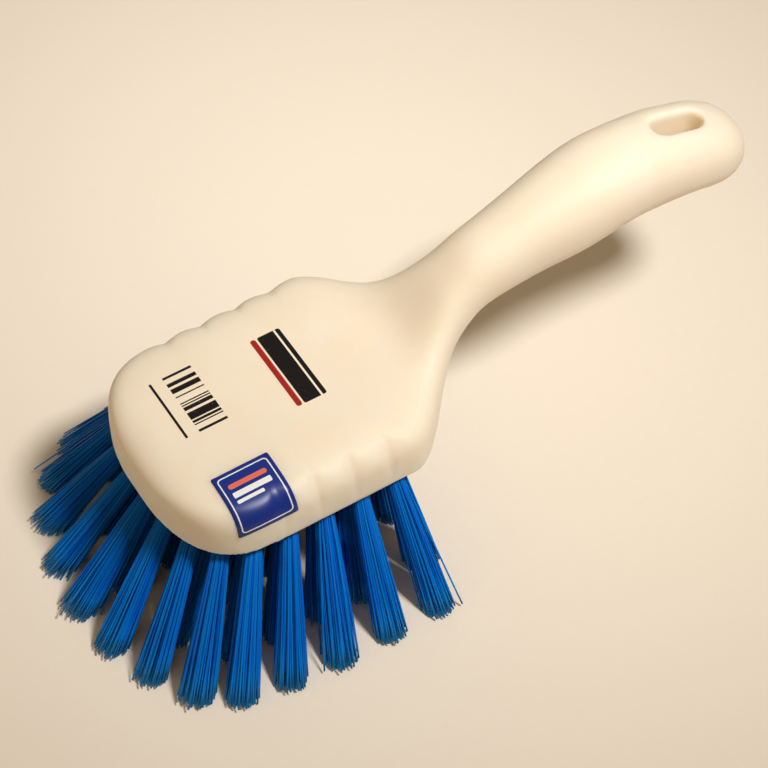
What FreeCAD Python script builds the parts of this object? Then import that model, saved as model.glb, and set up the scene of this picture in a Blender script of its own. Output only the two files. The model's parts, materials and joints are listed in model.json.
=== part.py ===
"""Short-handled scrub brush with a flared head of bristle tufts.

Millimetres, +Z up. X runs from the toe of the block to the end of the handle and Y runs across the
block. Everything is first placed from the toe tip of the block, with the bristle tips on Z = 0. At the
end the whole brush moves along X, so that the origin is under the middle of its box.
"""
import FreeCAD, Part
import math
import os

V = FreeCAD.Vector

# Block
block_width = 80.6
heel_width = 81.6
block_length = 81.5
block_thickness = 20.9
toe_curve_length = 28.9
toe_top_curve_length = 15.0
toe_nose_height = 11.5

# Neck and handle
brush_length = 234.4
neck_width = 24.8
grip_width = 33.2
handle_arch = 39.9
grip_underside_rise = 30.2
end_curve_length = 22.4
end_drop = 6.0

# Hanging slot
slot_length = 20.4
slot_width = 7.8
slot_to_end = 26.4

# Grooves in the sides of the block
groove_pitch = 13.2
groove_depth = 1.1
groove_foot_depth = 0.15
groove_half_width = 4.5
first_groove_from_toe = 32.2
edge_round = 11.0
groove_run_out = 8.0

# Bristle tufts and their holes
trim_height = 47.5
hole_diameter = 5.0
hole_depth = 11.0
tuft_clearance = 0.05
tip_diameter = 13.0
ring_edge_inset = 6.5
ring_gap = 12.5
ring_heel_from_toe = 79.5
heel_corner_reach = 4.4
outer_toe_reach = 17.5
middle_toe_reach = 12.0
inner_toe_reach = 7.0
flare_centre_from_toe = 73.5
flare_limit = 32.5
core_from_toe = 44.5

# Staples that hold the tufts
anchor_height = 2.0
anchor_thickness = 0.4
anchor_from_hole_end = 1.2
anchor_clearance = 0.01

# Sticker over the near edge
sticker_width = 20.7
sticker_from_toe = 16.3
sticker_top_reach = 19.2
sticker_side_reach = 9.0
sticker_corner_radius = 0.6
sticker_thickness = 0.2
sticker_glue = 0.05

# Room for every cut to run past what it cuts
overrun = 8.0

# Powers, turns, counts and shares of the shapes
toe_power = 2.48
toe_top_power = 2.4
end_power = 2.5
ring_toe_power = 2.0
ring_heel_power = 2.6
block_squareness = 6.0
grip_squareness = 2.2
flare_length_share = 0.5
flare_width_share = 0.85
lobe_count = 10
lobe_depth_share = 0.16
trim_slant_share = 0.6
groove_arc_angle = math.radians(78)
groove_count = 4
middle_width_share = 0.71
inner_width_share = 0.36
outer_steps = (4, 4, 3)
middle_steps = (2, 3, 2)
inner_steps = (1, 1, 1)
section_points = 40
dense_points = 720

# Toe sections, as shares of the toe curve from the toe tip
toe_shares = [0.004, 0.02, 0.05, 0.1, 0.17, 0.26, 0.38, 0.52, 0.7, 1.0]

# Straight sections, as shares from the end of the toe curve to the shoulder corners
block_shares = [0.25, 0.5, 0.75, 0.93]

# Shoulder sections: share of the way to the end curve, width from neck to heel, then top, underside
# and waist as shares of their rises, and squareness from grip to block
shoulder_shares = [
    (0.000, 1.000, 0.000, -0.268, 0.000, 1.00),
    (0.030, 0.947, 0.000, -0.268, 0.000, 0.95),
    (0.072, 0.795, 0.006, -0.249, 0.010, 0.82),
    (0.121, 0.553, 0.046, -0.153, 0.057, 0.55),
    (0.167, 0.327, 0.147, 0.038, 0.239, 0.32),
    (0.197, 0.206, 0.237, 0.153, 0.440, 0.20),
    (0.235, 0.095, 0.355, 0.287, 0.689, 0.10),
    (0.288, 0.018, 0.492, 0.459, 0.890, 0.03),
]

# Grip sections: share of the way to the end curve, width from neck to grip, then top and underside
grip_shares = [
    (0.333, 0.000, 0.593, 0.596),
    (0.409, 0.121, 0.686, 0.708),
    (0.485, 0.308, 0.774, 0.775),
    (0.561, 0.599, 0.859, 0.820),
    (0.636, 0.880, 0.932, 0.870),
    (0.712, 1.000, 0.986, 0.954),
    (0.788, 0.939, 1.000, 1.000),
    (0.864, 0.890, 0.986, 0.989),
    (0.939, 0.837, 0.951, 0.956),
    (1.000, 0.739, 0.891, 0.907),
]

# Sections of the handle's rounded end, as shares of the end curve
end_shares = [0.2, 0.4, 0.58, 0.73, 0.85, 0.93, 0.98, 0.996]

underside = trim_height
block_top = underside + block_thickness
end_start = brush_length - end_curve_length
handle_stretch = end_start - block_length


def mix(start, end, share):
    return start + (end - start) * share


def closing(share, power):
    """Height of a unit curve that starts flat at share 0 and closes at share 1."""
    return (1 - share ** power) ** (1 / power)


def even_steps(dense, count):
    """Points at even steps along a line of many points, from its start to one step before its end."""
    lengths = [0.0]
    for start, end in zip(dense, dense[1:]):
        lengths.append(lengths[-1] + math.dist(start, end))
    points = []
    index = 0
    for step in range(count):
        target = lengths[-1] * step / count
        while lengths[index + 1] < target:
            index += 1
        share = (target - lengths[index]) / (lengths[index + 1] - lengths[index])
        points.append([mix(a, b, share) for a, b in zip(dense[index], dense[index + 1])])
    return points


def side_half_width(x):
    """Half the distance between the block's sides, as if they ran on past the toe curve."""
    share = (x - toe_curve_length) / (block_length - toe_curve_length)
    return mix(block_width, heel_width, share) / 2


def block_half_width(x):
    """Half the block's width in plan, from the toe tip to the shoulder corners."""
    if x > toe_curve_length:
        return side_half_width(x)
    return block_width / 2 * closing(1 - x / toe_curve_length, toe_power)


def block_rise(x):
    """Height of the block's top above its underside, rounded down over the toe."""
    if x > toe_top_curve_length:
        return block_thickness
    share = closing(1 - x / toe_top_curve_length, toe_top_power)
    return mix(toe_nose_height, block_thickness, share)


def section_wire(x, half_width, waist, top, bottom, squareness):
    """Closed smooth section square to X, in two halves that meet at its lowest and highest points."""
    power = 2 / squareness
    dense = []
    for step in range(dense_points + 1):
        turn = 2 * math.pi * step / dense_points - math.pi / 2
        across = math.copysign(abs(math.cos(turn)) ** power, math.cos(turn))
        rise = top - waist if 0 < turn < math.pi else bottom - waist
        dense.append((half_width * across, waist + rise * abs(math.sin(turn)) ** power))
    points = [V(x, y, z) for y, z in even_steps(dense, section_points)]
    parameters = [step / section_points for step in range(section_points + 1)]
    curve = Part.BSplineCurve()
    curve.interpolate(points, PeriodicFlag=True, Parameters=parameters)
    return Part.Wire([curve.toShape(0, 0.5), curve.toShape(0.5, 1)])


def moulding_sections(skin):
    """Sections from toe to handle end, each grown outwards by the skin."""
    sections = []

    def add(x, half_width, waist, top, bottom, squareness):
        sections.append(section_wire(x, half_width + skin, waist, top + skin, bottom - skin, squareness))

    for share in toe_shares:
        x = share * toe_curve_length
        top = underside + block_rise(x)
        add(x, block_half_width(x), underside, top, underside - overrun, block_squareness)
    for share in block_shares:
        x = mix(toe_curve_length, block_length, share)
        add(x, block_half_width(x), underside, block_top, underside - overrun, block_squareness)
    for along, width, top, bottom, waist, square in shoulder_shares:
        add(
            block_length + along * handle_stretch,
            mix(neck_width, heel_width, width) / 2,
            underside + waist * grip_underside_rise,
            block_top + top * handle_arch,
            underside + bottom * grip_underside_rise,
            mix(grip_squareness, block_squareness, square),
        )
    for along, width, top, bottom in grip_shares:
        half_width = mix(neck_width, grip_width, width) / 2
        high = block_top + top * handle_arch
        low = underside + bottom * grip_underside_rise
        x = block_length + along * handle_stretch
        add(x, half_width, (low + high) / 2, high, low, grip_squareness)
    for share in end_shares:
        narrowing = closing(share, end_power)
        centre = (low + high) / 2 - share * end_drop
        half_height = (high - low) / 2 * narrowing
        x = end_start + share * end_curve_length
        add(x, half_width * narrowing, centre, centre + half_height, centre - half_height, grip_squareness)
    return sections


def moulding_blank(skin):
    """Block and handle before the grooves, slot and holes, flat underneath the block."""
    loft = Part.makeLoft(moulding_sections(skin), True, False)
    size = brush_length + 2 * overrun
    below = Part.makeBox(size, size, underside, V(-overrun, -size / 2, 0))
    return loft.cut(below)


def groove_cutter(x):
    """Cusp that deepens up the near side of the block and runs over its edge and out of its top."""
    side = -(block_half_width(x) - groove_depth)
    bend = edge_round - groove_depth
    centre = V(x, side + bend, block_top - edge_round)
    bend_start = V(x, side, centre.z)
    foot = V(x, groove_foot_depth - block_half_width(x), underside)
    bottom = foot + (foot - bend_start).normalize() * overrun

    def on_bend(angle):
        return centre + V(0, -bend * math.cos(angle), bend * math.sin(angle))

    bend_end = on_bend(groove_arc_angle)
    run_out = V(0, math.sin(groove_arc_angle), math.cos(groove_arc_angle)) * groove_run_out
    path = Part.Wire([
        Part.LineSegment(bottom, bend_start).toShape(),
        Part.Arc(bend_start, on_bend(groove_arc_angle / 2), bend_end).toShape(),
        Part.LineSegment(bend_end, bend_end + run_out).toShape(),
    ])
    flank = (groove_half_width ** 2 + groove_depth ** 2) / (2 * groove_depth)
    half_turn = math.asin(groove_half_width / flank) / 2
    mid_along = groove_half_width - flank * math.sin(half_turn)
    mid_out = groove_depth - flank * (1 - math.cos(half_turn))
    far_out = groove_depth + overrun

    def profile_point(along, outwards):
        return bottom + V(along, -outwards, 0)

    left = profile_point(-groove_half_width, groove_depth)
    right = profile_point(groove_half_width, groove_depth)
    left_far = profile_point(-groove_half_width, far_out)
    right_far = profile_point(groove_half_width, far_out)
    profile = Part.Wire([
        Part.Arc(left, profile_point(-mid_along, mid_out), bottom).toShape(),
        Part.Arc(bottom, profile_point(mid_along, mid_out), right).toShape(),
        Part.LineSegment(right, right_far).toShape(),
        Part.LineSegment(right_far, left_far).toShape(),
        Part.LineSegment(left_far, left).toShape(),
    ])
    return path.makePipeShell([profile], True, False)


def slot_cutter():
    """Upright round-ended slot for hanging the brush."""
    x = brush_length - slot_to_end
    reach = (slot_length - slot_width) / 2
    radius = slot_width / 2
    height = block_top + handle_arch + overrun
    ends = [Part.makeCylinder(radius, height, V(x + way * reach, 0, 0)) for way in (-1, 1)]
    middle = Part.makeBox(2 * reach, slot_width, height, V(x - reach, -radius, 0))
    return middle.fuse(ends).removeSplitter()


def ring_places(moves_in, width_share, toe_reach, steps):
    """Root places round one ring: steps along the toe curve, the side and the heel of each half."""
    toe_end = ring_edge_inset + moves_in * ring_gap + toe_reach
    heel = ring_heel_from_toe - moves_in * ring_gap
    corner = heel - heel_corner_reach
    turns = [math.pi / 2 * step / dense_points for step in range(dense_points + 1)]

    def place(x, share):
        return x, (side_half_width(x) - ring_edge_inset) * width_share * share

    def curve(end_x, reach, power):
        return [place(
            end_x + reach * abs(math.cos(turn)) ** (2 / power),
            abs(math.sin(turn)) ** (2 / power),
        ) for turn in turns]

    toe_line = curve(toe_end, -toe_reach, ring_toe_power)
    side_line = [place(toe_end, 1), place(corner, 1)]
    heel_line = curve(corner, heel_corner_reach, ring_heel_power)[::-1]
    half = []
    for line, count in zip((toe_line, side_line, heel_line), steps):
        half += even_steps(line, count)
    mirrored = [(x, -y) for x, y in half[:0:-1]]
    return half + [(heel, 0)] + mirrored


def tuft_places():
    """Name and root place of every tuft, ring by ring."""
    rings = {
        "outer": ring_places(0, 1, outer_toe_reach, outer_steps),
        "middle": ring_places(1, middle_width_share, middle_toe_reach, middle_steps),
        "inner": ring_places(2, inner_width_share, inner_toe_reach, inner_steps),
        "core": [(core_from_toe, 0)],
    }
    places = []
    for name, spots in rings.items():
        for number, spot in enumerate(spots, start=1):
            places.append((f"tuft_{name}_{number:02d}", spot))
    return places


def tuft_axis(place):
    """Tip on the floor, root at the underside, and the direction from tip to root."""
    x, y = place
    lean = V((x - flare_centre_from_toe) * flare_length_share, y * flare_width_share, 0)
    tip = V(x, y, 0) + lean * min(1, flare_limit / lean.Length)
    root = V(x, y, underside)
    return tip, root, (root - tip).normalize()


def hole_cutter(root, upward):
    """Blind hole along the tuft, run out past the underside."""
    return Part.makeCylinder(hole_diameter / 2, hole_depth + overrun, root - upward * overrun, upward)


def cross_directions(upward):
    """Level direction square to a tuft, and the direction square to both."""
    lean = math.hypot(upward.x, upward.y)
    across = V(-upward.y / lean, upward.x / lean, 0) if lean > 0 else V(0, 1, 0)
    return across, upward.cross(across)


def anchor_plate(root, upward, room):
    """Flat staple across the bottom of a hole, grown on every side by the room."""
    across, facing = cross_directions(upward)
    reach = hole_diameter / 2 - anchor_clearance
    half_width = math.sqrt(reach ** 2 - (anchor_thickness / 2) ** 2) + room
    half_thickness = anchor_thickness / 2 + room
    top = root + upward * (hole_depth - anchor_from_hole_end + room)
    turns = ((-1, -1), (1, -1), (1, 1), (-1, 1), (-1, -1))
    corners = [top + across * (a * half_width) + facing * (f * half_thickness) for a, f in turns]
    return Part.Face(Part.makePolygon(corners)).extrude(upward * -(anchor_height + 2 * room))


def lobed_wire(centre, upward, radius):
    """Outline of a bundle square to its line: round lobes that meet in inward corners."""
    across, facing = cross_directions(upward)
    corner = radius * (1 - lobe_depth_share)
    half_turn = math.pi / lobe_count

    def spot(step, reach):
        turn = step * half_turn
        return centre + across * (reach * math.cos(turn)) + facing * (reach * math.sin(turn))

    return Part.Wire([
        Part.Arc(spot(2 * lobe, corner), spot(2 * lobe + 1, radius), spot(2 * lobe + 2, corner)).toShape()
        for lobe in range(lobe_count)
    ])


def tuft(place):
    """Lobed bundle that fills its hole and flares to its tip, trimmed level inside and slanted outside."""
    tip, root, upward = tuft_axis(place)
    slant = math.hypot(upward.x, upward.y) / upward.z
    radius = hole_diameter / 2 - tuft_clearance
    mouth_radius = hole_diameter / 2 / (1 - lobe_depth_share)
    collar = mouth_radius * slant + tuft_clearance
    flare = (tip_diameter / 2 - mouth_radius) / ((root - tip).Length - collar)
    past_tip = tip_diameter / 2 * slant / (1 - flare * slant) + overrun
    mouth = root - upward * collar
    cone_end = tip - upward * past_tip
    end_radius = tip_diameter / 2 + flare * past_tip
    shank = Part.makeCylinder(radius, hole_depth + collar - tuft_clearance, mouth, upward)
    ends = [lobed_wire(cone_end, upward, end_radius), lobed_wire(mouth, upward, mouth_radius)]
    bundle = Part.makeLoft(ends, True, True)
    reach = 2 * (end_radius + past_tip)
    floor = Part.makeBox(reach, reach, reach, V(tip.x - reach / 2, tip.y - reach / 2, -reach))
    facing_up = (upward * trim_slant_share + V(0, 0, 1 - trim_slant_share)).normalize()
    outer_trim = Part.makeCylinder(reach, reach, tip - facing_up * reach, facing_up)
    whole = bundle.fuse(shank)
    return whole.cut([floor, outer_trim, anchor_plate(root, upward, tuft_clearance)])


def edge_sticker():
    """Thin square sticker that lies on the top face and bends down over the near edge."""
    outside = moulding_blank(sticker_glue + sticker_thickness)
    inside = moulding_blank(sticker_glue)
    near_side = -heel_width / 2 - overrun
    inner_edge = -block_width / 2 + sticker_top_reach
    low = block_top - sticker_side_reach
    corner = V(sticker_from_toe, near_side, low)
    region = Part.makeBox(sticker_width, inner_edge - near_side, sticker_side_reach + overrun, corner)
    inner_edges = [edge for edge in region.Edges if edge.BoundBox.ZLength > 0 and edge.BoundBox.YMin > near_side]
    low_edges = [edge for edge in region.Edges if edge.BoundBox.YLength > 0 and edge.BoundBox.ZMax < block_top]
    rounded = region.makeFillet(sticker_corner_radius, inner_edges + low_edges)
    return outside.common(rounded).cut(inside)


def block_and_handle(places):
    """One-piece moulding with its grooves, hanging slot and tuft holes."""
    cutters = [slot_cutter()]
    for number in range(groove_count):
        groove = groove_cutter(first_groove_from_toe + number * groove_pitch)
        cutters += [groove, groove.mirror(V(0, 0, 0), V(0, 1, 0))]
    for _, place in places:
        _, root, upward = tuft_axis(place)
        cutters.append(hole_cutter(root, upward))
    return moulding_blank(0).cut(cutters)


def brush():
    """Every node of the brush by name, placed from the toe tip of the block."""
    places = tuft_places()
    nodes = {"block_and_handle": block_and_handle(places), "edge_sticker": edge_sticker()}
    plates = []
    for name, place in places:
        _, root, upward = tuft_axis(place)
        nodes[name] = tuft(place)
        plates.append(anchor_plate(root, upward, 0))
    nodes["tuft_anchors"] = Part.makeCompound(plates)
    return nodes


def main():
    os.makedirs("parts", exist_ok=True)
    nodes = brush()
    box = Part.makeCompound(list(nodes.values())).optimalBoundingBox(True, False)
    middle = V(-(box.XMin + box.XMax) / 2, 0, 0)
    for name, shape in nodes.items():
        shape.translate(middle)
        shape.exportStep(f"parts/{name}.step")
        print(f"{name}: {len(shape.Solids)} solids, {shape.Volume:.1f} mm3, valid {shape.isValid()}")
    print(f"toe tip of the block at X {middle.x:.3f}, box {box}")


main()
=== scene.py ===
"""Looks of a short-handled scrub brush: ivory moulding, blue bristle tufts, edge sticker and a pale floor.

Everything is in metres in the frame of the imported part: X runs from toe to handle end, Y across and Z up
from the floor.
"""
import json
import math
import random

import bmesh
import bpy
from mathutils import Matrix, Vector
from mathutils.bvhtree import BVHTree


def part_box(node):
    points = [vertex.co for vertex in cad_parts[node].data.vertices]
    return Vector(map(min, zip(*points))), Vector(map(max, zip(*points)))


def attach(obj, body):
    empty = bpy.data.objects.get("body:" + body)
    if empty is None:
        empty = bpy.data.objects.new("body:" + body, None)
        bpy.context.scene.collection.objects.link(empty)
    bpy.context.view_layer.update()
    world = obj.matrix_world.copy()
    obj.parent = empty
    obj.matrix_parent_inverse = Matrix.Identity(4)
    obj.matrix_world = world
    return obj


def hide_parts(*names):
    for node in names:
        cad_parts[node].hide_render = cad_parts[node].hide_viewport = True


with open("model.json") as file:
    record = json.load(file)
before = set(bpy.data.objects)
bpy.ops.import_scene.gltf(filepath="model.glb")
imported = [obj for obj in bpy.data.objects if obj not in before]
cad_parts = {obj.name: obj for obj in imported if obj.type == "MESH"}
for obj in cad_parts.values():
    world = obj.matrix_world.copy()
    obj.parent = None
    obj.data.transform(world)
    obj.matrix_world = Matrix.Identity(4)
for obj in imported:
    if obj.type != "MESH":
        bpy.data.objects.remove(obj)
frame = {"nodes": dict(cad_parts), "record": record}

bl_info = {
    "name": "Scrub Brush",
    "version": (1, 0, 0),
    "blender": (4, 5, 0),
    "location": "View3D > Sidebar > Scrub Brush",
    "description": "Dresses the packed scrub brush: moulding, bristles, sticker, staples and stage",
    "category": "Object",
}

MM = 0.001
GOLDEN_TURN = math.radians(137.508)

# Glue and film that the sticker adds over the block's top face
STICKER_RISE = 0.25 * MM

# Sockets of a Mix node: factor, then first, second and result for colours and for plain numbers
FACTOR = 0
FIRST_COLOUR, SECOND_COLOUR, MIXED_COLOUR = 6, 7, 2
FIRST_NUMBER, SECOND_NUMBER, MIXED_NUMBER = 2, 3, 0

# Print on the top face, in mm: place from the toe, place across, length, width and corner radius
TOP_PRINT = {
    "panel": (61.2, 4.5, 8.4, 31, 0.8),
    "stripe": (63.5, 4.5, 0.7, 40, 0.3),
    "band": (55.3, 4.5, 2.0, 31, 0.9),
    "bars": (28.0, 9.5, 10.5, 25, 0.2),
    "line": (18.2, 9.5, 0.9, 25, 0.4),
}

# Print on the sticker: mm off its middle line, share of the way down it, then in mm how much narrower than
# the film it is, its height and its corner radius
STICKER_PRINT = {
    "band": (0, 0.24, 7, 1.8, 0.8),
    "upper_bar": (0, 0.38, 7, 2.0, 0.4),
    "lower_bar": (-2, 0.49, 11, 1.2, 0.4),
}

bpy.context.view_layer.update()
block_low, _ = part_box("block_and_handle")
sticker_low, sticker_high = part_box("edge_sticker")
tuft_nodes = sorted(name for name in frame["nodes"] if name.startswith("tuft_") and name != "tuft_anchors")
toe_x = block_low.x
underside = block_low.z
block_top = sticker_high.z - STICKER_RISE


def linear(code):
    """Linear colour, with alpha, of an sRGB hex value."""
    channels = [int(code[at:at + 2], 16) / 255 for at in (0, 2, 4)]
    return (*[c / 12.92 if c <= 0.04045 else ((c + 0.055) / 1.055) ** 2.4 for c in channels], 1.0)


class MouldingSettings(bpy.types.PropertyGroup):
    skin_step: bpy.props.FloatProperty(
        name="Skin Step", description="Size of the even mesh that the moulding's skin is drawn with",
        default=0.76 * MM, min=0.4 * MM, subtype="DISTANCE", unit="LENGTH", precision=5)
    edge_passes: bpy.props.IntProperty(
        name="Edge Softness", description="Smoothing passes over the whole skin, which round its sharp edges",
        default=4, min=0, max=40)
    slot_passes: bpy.props.IntProperty(
        name="Slot Softness", description="Further passes round the rims of the hanging slot",
        default=22, min=0, max=60)
    ivory: bpy.props.FloatVectorProperty(
        name="Ivory", description="Colour of the moulded plastic",
        default=linear("F8EAD5"), size=4, min=0, max=1, subtype="COLOR")
    ivory_shade: bpy.props.FloatVectorProperty(
        name="Ivory Clouds", description="Deeper colour of the faint clouds in the plastic",
        default=linear("F3E3CA"), size=4, min=0, max=1, subtype="COLOR")
    dark_ink: bpy.props.FloatVectorProperty(
        name="Dark Ink", description="Colour of the dark print on the top face",
        default=linear("100E0E"), size=4, min=0, max=1, subtype="COLOR")
    red_ink: bpy.props.FloatVectorProperty(
        name="Red Ink", description="Colour of the red print on the top face",
        default=linear("A8241B"), size=4, min=0, max=1, subtype="COLOR")


class BristleSettings(bpy.types.PropertyGroup):
    filaments: bpy.props.IntProperty(
        name="Filaments", description="Filaments in each tuft", default=150, min=10, max=300)
    filament_width: bpy.props.FloatProperty(
        name="Filament Width", description="Thickness of one filament",
        default=0.62 * MM, min=0.1 * MM, subtype="DISTANCE", unit="LENGTH", precision=5)
    root_radius: bpy.props.FloatProperty(
        name="Root Radius", description="Radius of a tuft where it leaves its hole",
        default=2.2 * MM, min=0.5 * MM, subtype="DISTANCE", unit="LENGTH", precision=5)
    tip_radius: bpy.props.FloatProperty(
        name="Tip Radius", description="Radius of a tuft at its tip",
        default=6.2 * MM, min=0.5 * MM, subtype="DISTANCE", unit="LENGTH", precision=5)
    lobes: bpy.props.IntProperty(
        name="Lobes", description="Lobes round each tuft, where its filaments cling together",
        default=10, min=3, max=20)
    lobe_depth: bpy.props.FloatProperty(
        name="Lobe Depth", description="Depth of the corners between lobes, as a share of the tuft's radius",
        default=0.16, min=0, max=0.6, subtype="FACTOR")
    trim_slant: bpy.props.FloatProperty(
        name="Trim Slant", description="Slant of the trimmed tips, from level to square to the tuft",
        default=0.6, min=0, max=1, subtype="FACTOR")
    ragged: bpy.props.FloatProperty(
        name="Ragged Tips", description="How much shorter than the trim the shortest filaments are",
        default=1.2 * MM, min=0, subtype="DISTANCE", unit="LENGTH", precision=5)
    deep_blue: bpy.props.FloatVectorProperty(
        name="Deep Blue", description="Colour of the darkest filaments",
        default=linear("005CC6"), size=4, min=0, max=1, subtype="COLOR")
    bright_blue: bpy.props.FloatVectorProperty(
        name="Bright Blue", description="Colour of the lightest filaments",
        default=linear("007ACC"), size=4, min=0, max=1, subtype="COLOR")


class StickerSettings(bpy.types.PropertyGroup):
    thickness: bpy.props.FloatProperty(
        name="Thickness", description="Thickness of the sticker's film",
        default=0.2 * MM, min=0.02 * MM, subtype="DISTANCE", unit="LENGTH", precision=5)
    corner: bpy.props.FloatProperty(
        name="Corner Radius", description="Radius of the sticker's corners",
        default=0.6 * MM, min=0, subtype="DISTANCE", unit="LENGTH", precision=5)
    field: bpy.props.FloatVectorProperty(
        name="Field", description="Colour of the sticker's field",
        default=linear("13297A"), size=4, min=0, max=1, subtype="COLOR")
    line: bpy.props.FloatVectorProperty(
        name="Lines", description="Colour of the sticker's pale lines",
        default=linear("F1F0EE"), size=4, min=0, max=1, subtype="COLOR")
    accent: bpy.props.FloatVectorProperty(
        name="Accent", description="Colour of the sticker's accent band",
        default=linear("E4705A"), size=4, min=0, max=1, subtype="COLOR")


class StageSettings(bpy.types.PropertyGroup):
    floor_colour: bpy.props.FloatVectorProperty(
        name="Floor", description="Colour of the matt card that the brush stands on",
        default=linear("FAEEDC"), size=4, min=0, max=1, subtype="COLOR")
    key_power: bpy.props.FloatProperty(
        name="Key Power", description="Power of the soft key lamp in watts", default=1.08, min=0)
    fill_strength: bpy.props.FloatProperty(
        name="Fill", description="Strength of the soft light from all round", default=0.6, min=0)


def add_node(tree, kind, inputs=None, **settings):
    """Adds a node with its settings, then fills or links its inputs."""
    made = tree.nodes.new(kind)
    for name, value in settings.items():
        setattr(made, name, value)
    for key, value in (inputs or {}).items():
        if isinstance(value, bpy.types.NodeSocket):
            tree.links.new(value, made.inputs[key])
        else:
            made.inputs[key].default_value = value
    return made


def start_material(name):
    """New material with its node tree and its shader."""
    material = bpy.data.materials.new(name)
    material.use_nodes = True
    return material, material.node_tree, material.node_tree.nodes["Principled BSDF"]


def printed_shape(tree, place, centre, size, radius):
    """Mask of a rounded rectangle on the plane of a place's first two axes, all in that place's units."""
    moved = add_node(tree, "ShaderNodeVectorMath", {0: place, 1: (*centre, 0)}, operation="SUBTRACT")
    flat = add_node(tree, "ShaderNodeVectorMath", {0: moved.outputs[0], 1: (1, 1, 0)}, operation="MULTIPLY")
    folded = add_node(tree, "ShaderNodeVectorMath", {0: flat.outputs[0]}, operation="ABSOLUTE")
    core = (size[0] / 2 - radius, size[1] / 2 - radius, 0)
    past = add_node(tree, "ShaderNodeVectorMath", {0: folded.outputs[0], 1: core}, operation="SUBTRACT")
    outside = add_node(tree, "ShaderNodeVectorMath", {0: past.outputs[0], 1: (0, 0, 0)}, operation="MAXIMUM")
    reach = add_node(tree, "ShaderNodeVectorMath", {0: outside.outputs[0]}, operation="LENGTH")
    bleed = 0.06 * radius
    edge = {"Value": reach.outputs["Value"], "From Min": radius + bleed, "From Max": radius - bleed}
    return add_node(tree, "ShaderNodeMapRange", edge).outputs["Result"]


def moulded_polypropylene(settings):
    """Polypropylene moulded in a fine-eroded steel tool: ivory, satin, slightly clouded, with matt ink
    printed on top."""
    material, tree, shader = start_material("moulded_polypropylene")
    place = add_node(tree, "ShaderNodeTexCoord").outputs["Object"]
    # Clouds about 16 mm across, where the melt cooled unevenly
    clouds = add_node(tree, "ShaderNodeTexNoise", {"Vector": place, "Scale": 1 / (16 * MM), "Detail": 2.0})
    shades = {
        FACTOR: clouds.outputs["Fac"], FIRST_COLOUR: settings.ivory, SECOND_COLOUR: settings.ivory_shade}
    colour = add_node(tree, "ShaderNodeMix", shades, data_type="RGBA").outputs[MIXED_COLOUR]
    # Ink stays on the top face, within 1.5 mm of its height
    axes = add_node(tree, "ShaderNodeSeparateXYZ", {0: place})
    height = {0: axes.outputs["Z"], 1: block_top - 1.5 * MM}
    on_top = add_node(tree, "ShaderNodeMath", height, operation="GREATER_THAN").outputs[0]
    printed = {}
    for name, (along, across, length, width, corner) in TOP_PRINT.items():
        centre = (toe_x + along * MM, across * MM)
        printed[name] = printed_shape(tree, place, centre, (length * MM, width * MM), corner * MM)
    # Plain bars of uneven width, in steps of 0.5 mm across the brush, a little over half of them inked
    steps = add_node(tree, "ShaderNodeMath", {0: axes.outputs["Y"], 1: 0.5 * MM}, operation="DIVIDE")
    whole = add_node(tree, "ShaderNodeMath", {0: steps.outputs[0]}, operation="FLOOR")
    chance = add_node(tree, "ShaderNodeTexWhiteNoise", {"W": whole.outputs[0]}, noise_dimensions="1D")
    inked = {0: chance.outputs["Value"], 1: 0.45}
    bars = add_node(tree, "ShaderNodeMath", inked, operation="GREATER_THAN").outputs[0]
    # Screen print thins in specks about 0.4 mm across
    specks = add_node(tree, "ShaderNodeTexNoise", {"Vector": place, "Scale": 1 / (0.4 * MM), "Detail": 1.0})
    thinning = {"Value": specks.outputs["Fac"], "From Min": 0.18, "From Max": 0.26}
    thin = add_node(tree, "ShaderNodeMapRange", thinning).outputs["Result"]
    for masks, ink in (
            ((printed["panel"], on_top, thin), settings.dark_ink),
            ((printed["stripe"], printed["panel"], on_top), settings.ivory),
            ((printed["band"], on_top, thin), settings.red_ink),
            ((printed["bars"], bars, on_top, thin), settings.dark_ink),
            ((printed["line"], on_top, thin), settings.dark_ink)):
        laid = masks[0]
        for mask in masks[1:]:
            laid = add_node(tree, "ShaderNodeMath", {0: laid, 1: mask}, operation="MULTIPLY").outputs[0]
        inks = {FACTOR: laid, FIRST_COLOUR: colour, SECOND_COLOUR: ink}
        colour = add_node(tree, "ShaderNodeMix", inks, data_type="RGBA").outputs[MIXED_COLOUR]
    tree.links.new(colour, shader.inputs["Base Color"])
    # Satin sheen that shifts a little over 9 mm, as handling polishes it
    sheen = add_node(tree, "ShaderNodeTexNoise", {"Vector": place, "Scale": 1 / (9 * MM), "Detail": 3.0})
    polish = {"Value": sheen.outputs["Fac"], "To Min": 0.44, "To Max": 0.56}
    rough = add_node(tree, "ShaderNodeMapRange", polish)
    tree.links.new(rough.outputs["Result"], shader.inputs["Roughness"])
    # Eroded grain is about 0.05 mm, drawn at 0.5 mm so that it shows
    grain = add_node(tree, "ShaderNodeTexNoise", {"Vector": place, "Scale": 1 / (0.5 * MM), "Detail": 2.0})
    pits = {"Height": grain.outputs["Fac"], "Strength": 0.12, "Distance": 0.05 * MM}
    bump = add_node(tree, "ShaderNodeBump", pits)
    tree.links.new(bump.outputs["Normal"], shader.inputs["Normal"])
    shader.inputs["IOR"].default_value = 1.49
    shader.inputs["Specular IOR Level"].default_value = 0.3
    # Light runs about 8 mm through the unfilled plastic, red furthest
    shader.inputs["Subsurface Weight"].default_value = 0.7
    shader.inputs["Subsurface Radius"].default_value = (1.0, 0.85, 0.65)
    shader.inputs["Subsurface Scale"].default_value = 8.0 * MM
    return material


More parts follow.
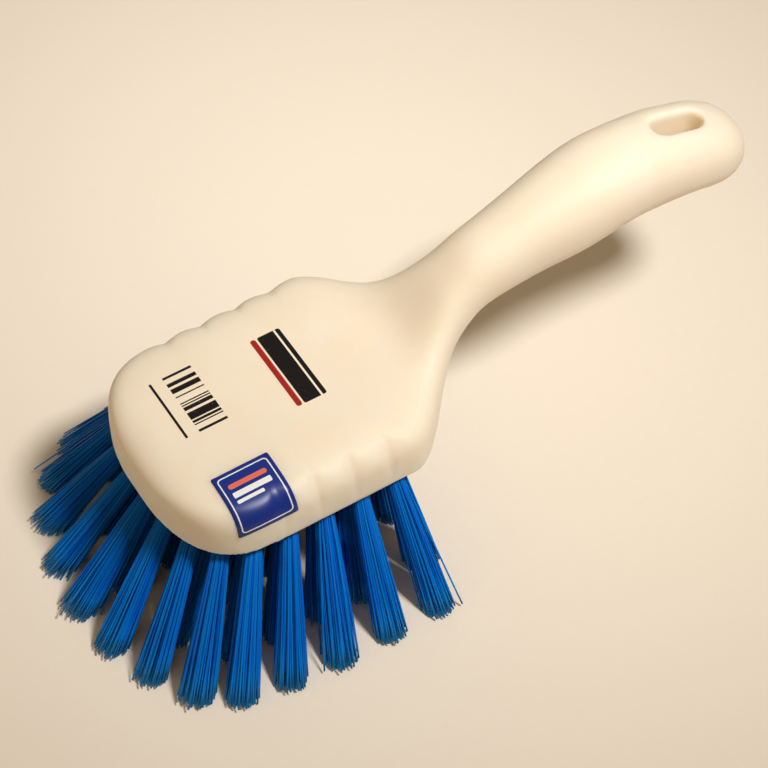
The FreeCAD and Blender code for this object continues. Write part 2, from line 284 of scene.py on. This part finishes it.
def drawn_polyester(settings):
    """Extruded and drawn polyester monofilament: strong blue, each strand a little different, with a low
    gloss along its length."""
    material, tree, shader = start_material("drawn_polyester")
    tone = add_node(tree, "ShaderNodeAttribute", attribute_name="tone").outputs["Fac"]
    along = add_node(tree, "ShaderNodeAttribute", attribute_name="along").outputs["Fac"]
    place = add_node(tree, "ShaderNodeTexCoord").outputs["Object"]
    blues = {FACTOR: tone, FIRST_COLOUR: settings.deep_blue, SECOND_COLOUR: settings.bright_blue}
    strand = add_node(tree, "ShaderNodeMix", blues, data_type="RGBA").outputs[MIXED_COLOUR]
    # Painted light: strands are painted paler over their last third, for the light that the spread tips catch
    # in the open and that their cut ends scatter
    fade = {"Value": along, "From Min": 0.65, "From Max": 1.0, "To Max": 0.6}
    end = add_node(tree, "ShaderNodeMapRange", fade).outputs["Result"]
    # Pale blue mixed in towards the tips: painted light on the open tips
    tip_light_paint = {FACTOR: end, FIRST_COLOUR: strand, SECOND_COLOUR: linear("1C9CE0")}
    pale = add_node(tree, "ShaderNodeMix", tip_light_paint, data_type="RGBA").outputs[MIXED_COLOUR]
    tree.links.new(pale, shader.inputs["Base Color"])
    # Drawing leaves dull and bright stretches about 6 mm long
    dull = add_node(tree, "ShaderNodeTexNoise", {"Vector": place, "Scale": 1 / (6 * MM), "Detail": 2.0})
    stretches = {"Value": dull.outputs["Fac"], "To Min": 0.22, "To Max": 0.42}
    rough = add_node(tree, "ShaderNodeMapRange", stretches)
    tree.links.new(rough.outputs["Result"], shader.inputs["Roughness"])
    shader.inputs["IOR"].default_value = 1.57
    shader.inputs["Specular IOR Level"].default_value = 0.1
    return material


def laminated_film(settings, size):
    """Printed polypropylene film under a clear laminate: plain blue field with pale lines and a coral band,
    with a soft gloss."""
    material, tree, shader = start_material("laminated_film")
    uv = add_node(tree, "ShaderNodeTexCoord").outputs["UV"]
    width, length = size
    real_size = {0: uv, 1: (width, length, 0)}
    scaled = add_node(tree, "ShaderNodeVectorMath", real_size, operation="MULTIPLY").outputs[0]
    # Ink lies a little unevenly, in patches about 3 mm across
    patches = add_node(tree, "ShaderNodeTexNoise", {"Vector": scaled, "Scale": 1 / (3 * MM), "Detail": 2.0})
    blues = {FACTOR: patches.outputs["Fac"], FIRST_COLOUR: settings.field, SECOND_COLOUR: linear("1A3388")}
    colour = add_node(tree, "ShaderNodeMix", blues, data_type="RGBA").outputs[MIXED_COLOUR]
    # Frame line 0.4 mm wide, 1.3 mm in from the film's edge
    middle = (width / 2, length / 2)
    outer = printed_shape(tree, scaled, middle, (width - 2.6 * MM, length - 2.6 * MM), 1.4 * MM)
    inner = printed_shape(tree, scaled, middle, (width - 3.4 * MM, length - 3.4 * MM), 1.1 * MM)
    frame_line = add_node(tree, "ShaderNodeMath", {0: outer, 1: inner}, operation="SUBTRACT").outputs[0]
    printed = {}
    for name, (aside, down_share, narrower, height, corner) in STICKER_PRINT.items():
        centre = (width / 2 + aside * MM, down_share * length)
        printed[name] = printed_shape(tree, scaled, centre, (width - narrower * MM, height * MM), corner * MM)
    for mask, ink in (
            (frame_line, settings.line), (printed["band"], settings.accent),
            (printed["upper_bar"], settings.line), (printed["lower_bar"], settings.line)):
        inks = {FACTOR: mask, FIRST_COLOUR: colour, SECOND_COLOUR: ink}
        colour = add_node(tree, "ShaderNodeMix", inks, data_type="RGBA").outputs[MIXED_COLOUR]
    tree.links.new(colour, shader.inputs["Base Color"])
    # Trapped air lifts the film in soft dimples about 2.5 mm across
    dimples = add_node(tree, "ShaderNodeTexNoise", {"Vector": scaled, "Scale": 1 / (2.5 * MM), "Detail": 1.0})
    lifts = {"Height": dimples.outputs["Fac"], "Strength": 0.1, "Distance": 0.1 * MM}
    bump = add_node(tree, "ShaderNodeBump", lifts)
    tree.links.new(bump.outputs["Normal"], shader.inputs["Normal"])
    shader.inputs["Roughness"].default_value = 0.34
    shader.inputs["IOR"].default_value = 1.5
    shader.inputs["Specular IOR Level"].default_value = 0.35
    return material


def rolled_steel():
    """Bright rolled steel wire pressed flat: grey metal with fine rolling lines across it."""
    material, tree, shader = start_material("rolled_steel")
    place = add_node(tree, "ShaderNodeTexCoord").outputs["Object"]
    # Rolling lines about 0.2 mm apart, ten times as long along Z
    stretched = add_node(tree, "ShaderNodeMapping", {"Vector": place, "Scale": (1, 1, 0.1)}).outputs[0]
    rolling = {"Vector": stretched, "Scale": 1 / (0.2 * MM), "Detail": 2.0}
    lines = add_node(tree, "ShaderNodeTexNoise", rolling)
    greys = {FACTOR: lines.outputs["Fac"], FIRST_COLOUR: linear("8C8F92"), SECOND_COLOUR: linear("B9BCBE")}
    grey = add_node(tree, "ShaderNodeMix", greys, data_type="RGBA").outputs[MIXED_COLOUR]
    wear = {"Value": lines.outputs["Fac"], "To Min": 0.28, "To Max": 0.42}
    rough = add_node(tree, "ShaderNodeMapRange", wear)
    tree.links.new(grey, shader.inputs["Base Color"])
    tree.links.new(rough.outputs["Result"], shader.inputs["Roughness"])
    shader.inputs["Metallic"].default_value = 1.0
    return material


def matt_card(settings):
    """Uncoated card: warm pale, fully matt, with a faint fibre mottle."""
    material, tree, shader = start_material("matt_card")
    place = add_node(tree, "ShaderNodeTexCoord").outputs["Object"]
    # Fibre mottle about 3 mm across
    mottle = add_node(tree, "ShaderNodeTexNoise", {"Vector": place, "Scale": 1 / (3 * MM), "Detail": 3.0})
    tints = {
        FACTOR: mottle.outputs["Fac"], FIRST_COLOUR: settings.floor_colour, SECOND_COLOUR: linear("F8EBD8")}
    tint = add_node(tree, "ShaderNodeMix", tints, data_type="RGBA").outputs[MIXED_COLOUR]
    tree.links.new(tint, shader.inputs["Base Color"])
    # Past the studio light the card fades to an even pale backdrop, for the camera alone
    outwards = add_node(tree, "ShaderNodeVectorMath", {0: place}, operation="LENGTH").outputs["Value"]
    fade = {"Value": outwards, "From Min": 0.29, "From Max": 0.6, "To Max": 0.7}
    far = add_node(tree, "ShaderNodeMapRange", fade).outputs["Result"]
    seen = add_node(tree, "ShaderNodeLightPath").outputs["Is Camera Ray"]
    glow = add_node(tree, "ShaderNodeMath", {0: far, 1: seen}, operation="MULTIPLY").outputs[0]
    tree.links.new(glow, shader.inputs["Emission Strength"])
    shader.inputs["Emission Color"].default_value = settings.floor_colour
    shader.inputs["Roughness"].default_value = 0.9
    shader.inputs["Specular IOR Level"].default_value = 0.2
    return material


def soft_room(settings):
    """Warm room light that is brightest high up past the toe of the brush and dim behind its handle. The
    camera sees a pale backdrop in its place, which lights nothing."""
    world = bpy.data.worlds.new("soft_room")
    world.use_nodes = True
    tree = world.node_tree
    background = tree.nodes["Background"]
    seen = add_node(tree, "ShaderNodeLightPath").outputs["Is Camera Ray"]
    tints = {FACTOR: seen, FIRST_COLOUR: linear("FFE6C2"), SECOND_COLOUR: settings.floor_colour}
    tint = add_node(tree, "ShaderNodeMix", tints, data_type="RGBA").outputs[MIXED_COLOUR]
    tree.links.new(tint, background.inputs["Color"])
    direction = add_node(tree, "ShaderNodeTexCoord").outputs["Generated"]
    bright_side = Vector((-0.7, 0.1, 0.7)).normalized()
    facing = add_node(tree, "ShaderNodeVectorMath", {0: direction, 1: bright_side}, operation="DOT_PRODUCT")
    lit = add_node(tree, "ShaderNodeMapRange", {
        "Value": facing.outputs["Value"], "From Min": -0.3, "From Max": 1.0,
        "To Min": 0.08 * settings.fill_strength, "To Max": 0.64 * settings.fill_strength})
    strengths = {FACTOR: seen, FIRST_NUMBER: lit.outputs["Result"], SECOND_NUMBER: 0.9}
    strength = add_node(tree, "ShaderNodeMix", strengths, data_type="FLOAT").outputs[MIXED_NUMBER]
    tree.links.new(strength, background.inputs["Strength"])
    return world


def finish_piece(bm, name, material):
    """Object at the origin from a bmesh that is then freed."""
    mesh = bpy.data.meshes.new(name)
    bm.to_mesh(mesh)
    bm.free()
    mesh.materials.append(material)
    piece = bpy.data.objects.new(name, mesh)
    bpy.context.scene.collection.objects.link(piece)
    return piece


class SCRUB_OT_moulding(bpy.types.Operator):
    """Gives the block and handle a soft-edged skin and its printed plastic"""
    bl_idname = "scrub.moulding"
    bl_label = "Block and Handle"

    merge_gap = 0.02 * MM
    rim_reach = 17 * MM
    rim_half_width = 8 * MM

    def execute(self, context):
        settings = context.scene.scrub_moulding
        bm = bmesh.new()
        bm.from_mesh(frame["nodes"]["block_and_handle"].data)
        bmesh.ops.remove_doubles(bm, verts=bm.verts, dist=self.merge_gap)
        rough = finish_piece(bm, "moulding_rough", moulded_polypropylene(settings))
        skin = rough.modifiers.new("Even_Skin", "REMESH")
        skin.mode = "VOXEL"
        skin.voxel_size = settings.skin_step
        depsgraph = context.evaluated_depsgraph_get()
        bm = bmesh.new()
        bm.from_object(rough, depsgraph)
        self.soften(bm, bm.verts, settings.edge_passes)
        slot_x = frame["record"]["mounts"][0]["pos_m"][0]
        rims = [
            v for v in bm.verts
            if abs(v.co.x - slot_x) < self.rim_reach and abs(v.co.y) < self.rim_half_width]
        self.soften(bm, rims, settings.slot_passes)
        for face in bm.faces:
            face.smooth = True
        piece = finish_piece(bm, "moulding", rough.data.materials[0])
        bpy.data.objects.remove(rough)
        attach(piece, "root")
        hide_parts("block_and_handle")
        return {"FINISHED"}

    def soften(self, bm, verts, passes):
        """Moves corners half of the way to the middle of their neighbours, again and again."""
        for _ in range(passes):
            bmesh.ops.smooth_vert(
                bm, verts=verts, factor=0.5, use_axis_x=True, use_axis_y=True, use_axis_z=True)


def box_middle(points):
    """Middle of the box round some points."""
    return Vector([(min(axis) + max(axis)) / 2 for axis in zip(*points)])


def tuft_line(node):
    """Middle of a tuft's flat root end, and the place where its line meets the floor, read from its solid."""
    mesh = frame["nodes"][node].data
    flatness = 0.01 * MM
    upward = max(mesh.polygons, key=lambda face: face.center.z).normal.copy()
    reach = max(v.co.dot(upward) for v in mesh.vertices)
    hole_end = box_middle([v.co for v in mesh.vertices if v.co.dot(upward) > reach - flatness])
    return hole_end, hole_end - upward * (hole_end.z / upward.z)


def grow_filaments(bm, paths, radius, chance):
    """Closed strands, each extruded ring by ring along its own path, all in step."""
    strand_layer = bm.verts.layers.int.new("strand")
    tone_layer = bm.verts.layers.float.new("tone")
    along_layer = bm.verts.layers.float.new("along")
    faces = []
    for number, path in enumerate(paths):
        ring = bmesh.ops.create_circle(
            bm, cap_ends=True, segments=6, radius=radius, matrix=Matrix.Translation(path[0]))["verts"]
        tone = chance.random()
        for vert in ring:
            vert[strand_layer] = number
            vert[tone_layer] = tone
        faces.append(ring[0].link_faces[0])
    for step in range(1, len(paths[0])):
        made = bmesh.ops.extrude_face_region(bm, geom=faces)["geom"]
        faces = [item for item in made if isinstance(item, bmesh.types.BMFace)]
        for vert in made:
            if isinstance(vert, bmesh.types.BMVert):
                path = paths[vert[strand_layer]]
                vert.co += path[step] - path[step - 1]
                vert[along_layer] = step / (len(path) - 1)


class SCRUB_OT_tufts(bpy.types.Operator):
    """Grows every bristle tuft from loose filaments in its hole"""
    bl_idname = "scrub.tufts"
    bl_label = "Bristle Tufts"

    start_in_hole = 4 * MM
    opening_shares = (0.92, 1.06)
    far_stray_share = 0.03
    far_stray = 2.4 * MM
    near_stray = 0.5 * MM
    bow_size = 0.25 * MM
    path_shares = (0, 0.3, 0.6, 0.85, 1)

    def execute(self, context):
        settings = context.scene.scrub_bristle
        material = drawn_polyester(settings)
        for node in tuft_nodes:
            piece = finish_piece(self.grow_tuft(node, settings), f"{node}_bristles", material)
            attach(piece, "root")
            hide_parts(node)
        return {"FINISHED"}

    def grow_tuft(self, node, settings):
        chance = random.Random(node)
        hole_end, tip = tuft_line(node)
        upward = (hole_end - tip).normalized()
        across = Vector((-upward.y, upward.x, 0)).normalized()
        beside = upward.cross(across)
        inside_hole = hole_end + upward * ((underside - hole_end.z) / upward.z + self.start_in_hole)
        trim = upward.lerp(Vector((0, 0, 1)), 1 - settings.trim_slant)
        opening = settings.tip_radius * chance.uniform(*self.opening_shares)
        paths = []
        for number in range(settings.filaments):
            turn = number * GOLDEN_TURN
            lobe = turn * settings.lobes / math.tau % 1
            reach = math.sqrt((number + 0.5) / settings.filaments)
            reach *= 1 - settings.lobe_depth * (1 - 4 * lobe * (1 - lobe))
            side = (across * math.cos(turn) + beside * math.sin(turn)) * reach
            root = inside_hole + side * settings.root_radius
            stray = self.far_stray if chance.random() < self.far_stray_share else self.near_stray
            aside = across * chance.uniform(-1, 1) + beside * chance.uniform(-1, 1)
            aim = tip + side * opening + aside * stray
            floor_share = root.z / (root.z - aim.z)
            trim_share = (root - tip).dot(trim) / (root - aim).dot(trim)
            short = settings.ragged * chance.random() ** 3 / (root - aim).length
            end = root.lerp(aim, min(floor_share, trim_share) - short)
            bow = (across * chance.gauss(0, 1) + beside * chance.gauss(0, 1)) * self.bow_size
            paths.append([
                root.lerp(end, share) + bow * 4 * share * (1 - share) for share in self.path_shares])
        bm = bmesh.new()
        grow_filaments(bm, paths, settings.filament_width / 2, chance)
        for face in bm.faces:
            face.smooth = len(face.verts) == 4
        return bm


class SCRUB_OT_sticker(bpy.types.Operator):
    """Wraps the sticker over the near edge of the block"""
    bl_idname = "scrub.sticker"
    bl_label = "Edge Sticker"

    # Line inside the block that the film is wrapped round, in Y and below the top face
    wrap_y = -29.0 * MM
    wrap_below_top = 12.0 * MM
    flat_steps = 12
    wrap_steps = 60
    wrap_step = math.radians(1.5)
    search_reach = 40 * MM
    glue = 0.05 * MM
    cells = (16, 40)

    def execute(self, context):
        settings = context.scene.scrub_sticker
        width = sticker_high.x - sticker_low.x
        surface = BVHTree.FromObject(bpy.data.objects["moulding"], context.evaluated_depsgraph_get())
        middle_x = (sticker_low.x + sticker_high.x) / 2
        length = self.edge_path(surface, middle_x)[1][-1]
        bm = bmesh.new()
        uv_layer = bm.loops.layers.uv.new("UVMap")
        bmesh.ops.create_grid(bm, x_segments=1, y_segments=1, size=0.5)
        bmesh.ops.scale(bm, verts=bm.verts, vec=(width, length, 1))
        bmesh.ops.bevel(
            bm, geom=bm.verts, offset=settings.corner, affect="VERTICES", segments=6, profile=0.5,
            material=-1)
        axes = (Vector((1, 0, 0)), Vector((0, 1, 0)))
        for normal, size, count in zip(axes, (width, length), self.cells):
            for step in range(1, count):
                everything = bm.verts[:] + bm.edges[:] + bm.faces[:]
                cut = normal * size * (step / count - 0.5)
                bmesh.ops.bisect_plane(bm, geom=everything, plane_co=cut, plane_no=normal)
        for face in bm.faces:
            face.smooth = True
            for loop in face.loops:
                loop[uv_layer].uv = (loop.vert.co.x / width + 0.5, 0.5 - loop.vert.co.y / length)
        paths = {}
        for vert in bm.verts:
            x = middle_x + vert.co.x
            key = round(x / MM, 3)
            if key not in paths:
                paths[key] = self.edge_path(surface, x)
            vert.co = self.point_along(*paths[key], length / 2 - vert.co.y)
        piece = finish_piece(bm, "edge_sticker_film", laminated_film(settings, (width, length)))
        film = piece.modifiers.new("Film", "SOLIDIFY")
        film.thickness = settings.thickness
        film.offset = 1.0
        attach(piece, "root")
        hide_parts("edge_sticker")
        return {"FINISHED"}

    def edge_path(self, surface, x):
        """Points over the near edge at one place along the brush, and how far along the film each lies."""
        wrap_z = block_top - self.wrap_below_top
        inner_y = sticker_high.y
        points = []
        for step in range(self.flat_steps + 1):
            y = inner_y + (self.wrap_y - inner_y) * step / self.flat_steps
            points.append(self.lie_on(surface, Vector((x, y, wrap_z)), Vector((0, 0, 1))))
        for step in range(1, self.wrap_steps):
            turn = math.pi / 2 - self.wrap_step * step
            outward = Vector((0, -math.cos(turn), math.sin(turn)))
            point = self.lie_on(surface, Vector((x, self.wrap_y, wrap_z)), outward)
            if point.z < sticker_low.z:
                break
            points.append(point)
        lengths = [0.0]
        for start, end in zip(points, points[1:]):
            lengths.append(lengths[-1] + (end - start).length)
        return points, lengths

    def lie_on(self, surface, inside, outward):
        """Place just above the skin, looked for from outside towards a point inside."""
        place, normal, _, _ = surface.ray_cast(inside + outward * self.search_reach, -outward)
        if place is None:
            raise RuntimeError("The sticker found no surface to lie on")
        return place + normal * self.glue

    def point_along(self, points, lengths, target):
        """Point at a distance along the film."""
        index = 0
        while index < len(points) - 2 and lengths[index + 1] < target:
            index += 1
        share = (target - lengths[index]) / (lengths[index + 1] - lengths[index])
        return points[index].lerp(points[index + 1], share)


class SCRUB_OT_staples(bpy.types.Operator):
    """Gives the tuft staples their rolled steel"""
    bl_idname = "scrub.staples"
    bl_label = "Tuft Staples"

    def execute(self, context):
        staples = frame["nodes"]["tuft_anchors"]
        staples.data.materials.clear()
        staples.data.materials.append(rolled_steel())
        return {"FINISHED"}


class SCRUB_OT_stage(bpy.types.Operator):
    """Sets the floor, the soft light and the camera"""
    bl_idname = "scrub.stage"
    bl_label = "Stage"

    floor_half_size = 4.0
    # Middle of the view, from the floor under the toe tip
    view_middle = Vector((94.2, 0.7, 39)) * MM
    lamp_size = 0.18
    lamp_spread = math.radians(60)
    lamp_distance = 1.0
    lamp_side = Vector((0.235, -0.39, 0.9))
    # The lamp points past the brush, so that the floor is brightest behind it
    lamp_aim = Vector((22, 159, -39)) * MM
    camera_lens = 120.44
    camera_turn = math.radians(-31.981)
    camera_height = math.radians(53.245)
    camera_distance = 0.86607

    def execute(self, context):
        settings = context.scene.scrub_stage
        scene = context.scene
        bm = bmesh.new()
        bmesh.ops.create_grid(bm, x_segments=1, y_segments=1, size=self.floor_half_size)
        finish_piece(bm, "floor", matt_card(settings))
        scene.world = soft_room(settings)
        middle = Vector((toe_x, 0, 0)) + self.view_middle
        self.add_lamp(scene, settings, middle)
        self.add_camera(scene, middle)
        scene.view_settings.view_transform = "Standard"
        return {"FINISHED"}

    def add_lamp(self, scene, settings, middle):
        lamp = bpy.data.lights.new("key_lamp", "AREA")
        lamp.shape = "DISK"
        lamp.size = self.lamp_size
        lamp.spread = self.lamp_spread
        lamp.energy = settings.key_power
        lamp_place = middle + self.lamp_side.normalized() * self.lamp_distance
        key = bpy.data.objects.new("key_lamp", lamp)
        key.location = lamp_place
        key.rotation_euler = (lamp_place - middle - self.lamp_aim).to_track_quat("Z", "Y").to_euler()
        scene.collection.objects.link(key)

    def add_camera(self, scene, middle):
        lens = bpy.data.cameras.new("camera")
        lens.lens = self.camera_lens
        lens.sensor_width = 36
        lens.clip_start = 0.01
        camera = bpy.data.objects.new("camera", lens)
        level = math.cos(self.camera_height)
        back = Vector((
            math.sin(self.camera_turn) * level,
            -math.cos(self.camera_turn) * level,
            math.sin(self.camera_height)))
        camera.location = middle + back * self.camera_distance
        camera.rotation_euler = (math.pi / 2 - self.camera_height, 0, self.camera_turn)
        scene.collection.objects.link(camera)
        scene.camera = camera


class SCRUB_PT_brush(bpy.types.Panel):
    """Lists the brush's pieces and their settings"""
    bl_idname = "SCRUB_PT_brush"
    bl_label = "Scrub Brush"
    bl_space_type = "VIEW_3D"
    bl_region_type = "UI"
    bl_category = "Scrub Brush"

    def draw(self, context):
        for operator, group in PANEL_ROWS:
            self.layout.operator(operator.bl_idname)
            if group:
                settings = getattr(context.scene, group)
                for name in settings.bl_rna.properties.keys():
                    if name not in ("rna_type", "name"):
                        self.layout.prop(settings, name)


SETTINGS = {
    "scrub_moulding": MouldingSettings,
    "scrub_bristle": BristleSettings,
    "scrub_sticker": StickerSettings,
    "scrub_stage": StageSettings,
}
PANEL_ROWS = (
    (SCRUB_OT_moulding, "scrub_moulding"),
    (SCRUB_OT_tufts, "scrub_bristle"),
    (SCRUB_OT_sticker, "scrub_sticker"),
    (SCRUB_OT_staples, None),
    (SCRUB_OT_stage, "scrub_stage"),
)
CLASSES = (*SETTINGS.values(), *[operator for operator, _ in PANEL_ROWS], SCRUB_PT_brush)


def register():
    for item in CLASSES:
        bpy.utils.register_class(item)
    for name, group in SETTINGS.items():
        setattr(bpy.types.Scene, name, bpy.props.PointerProperty(type=group))


def unregister():
    for name in SETTINGS:
        delattr(bpy.types.Scene, name)
    for item in reversed(CLASSES):
        bpy.utils.unregister_class(item)


def main():
    register()
    bpy.ops.scrub.moulding()
    bpy.ops.scrub.tufts()
    bpy.ops.scrub.sticker()
    bpy.ops.scrub.staples()
    bpy.ops.scrub.stage()


if __name__ == "__main__":
    main()
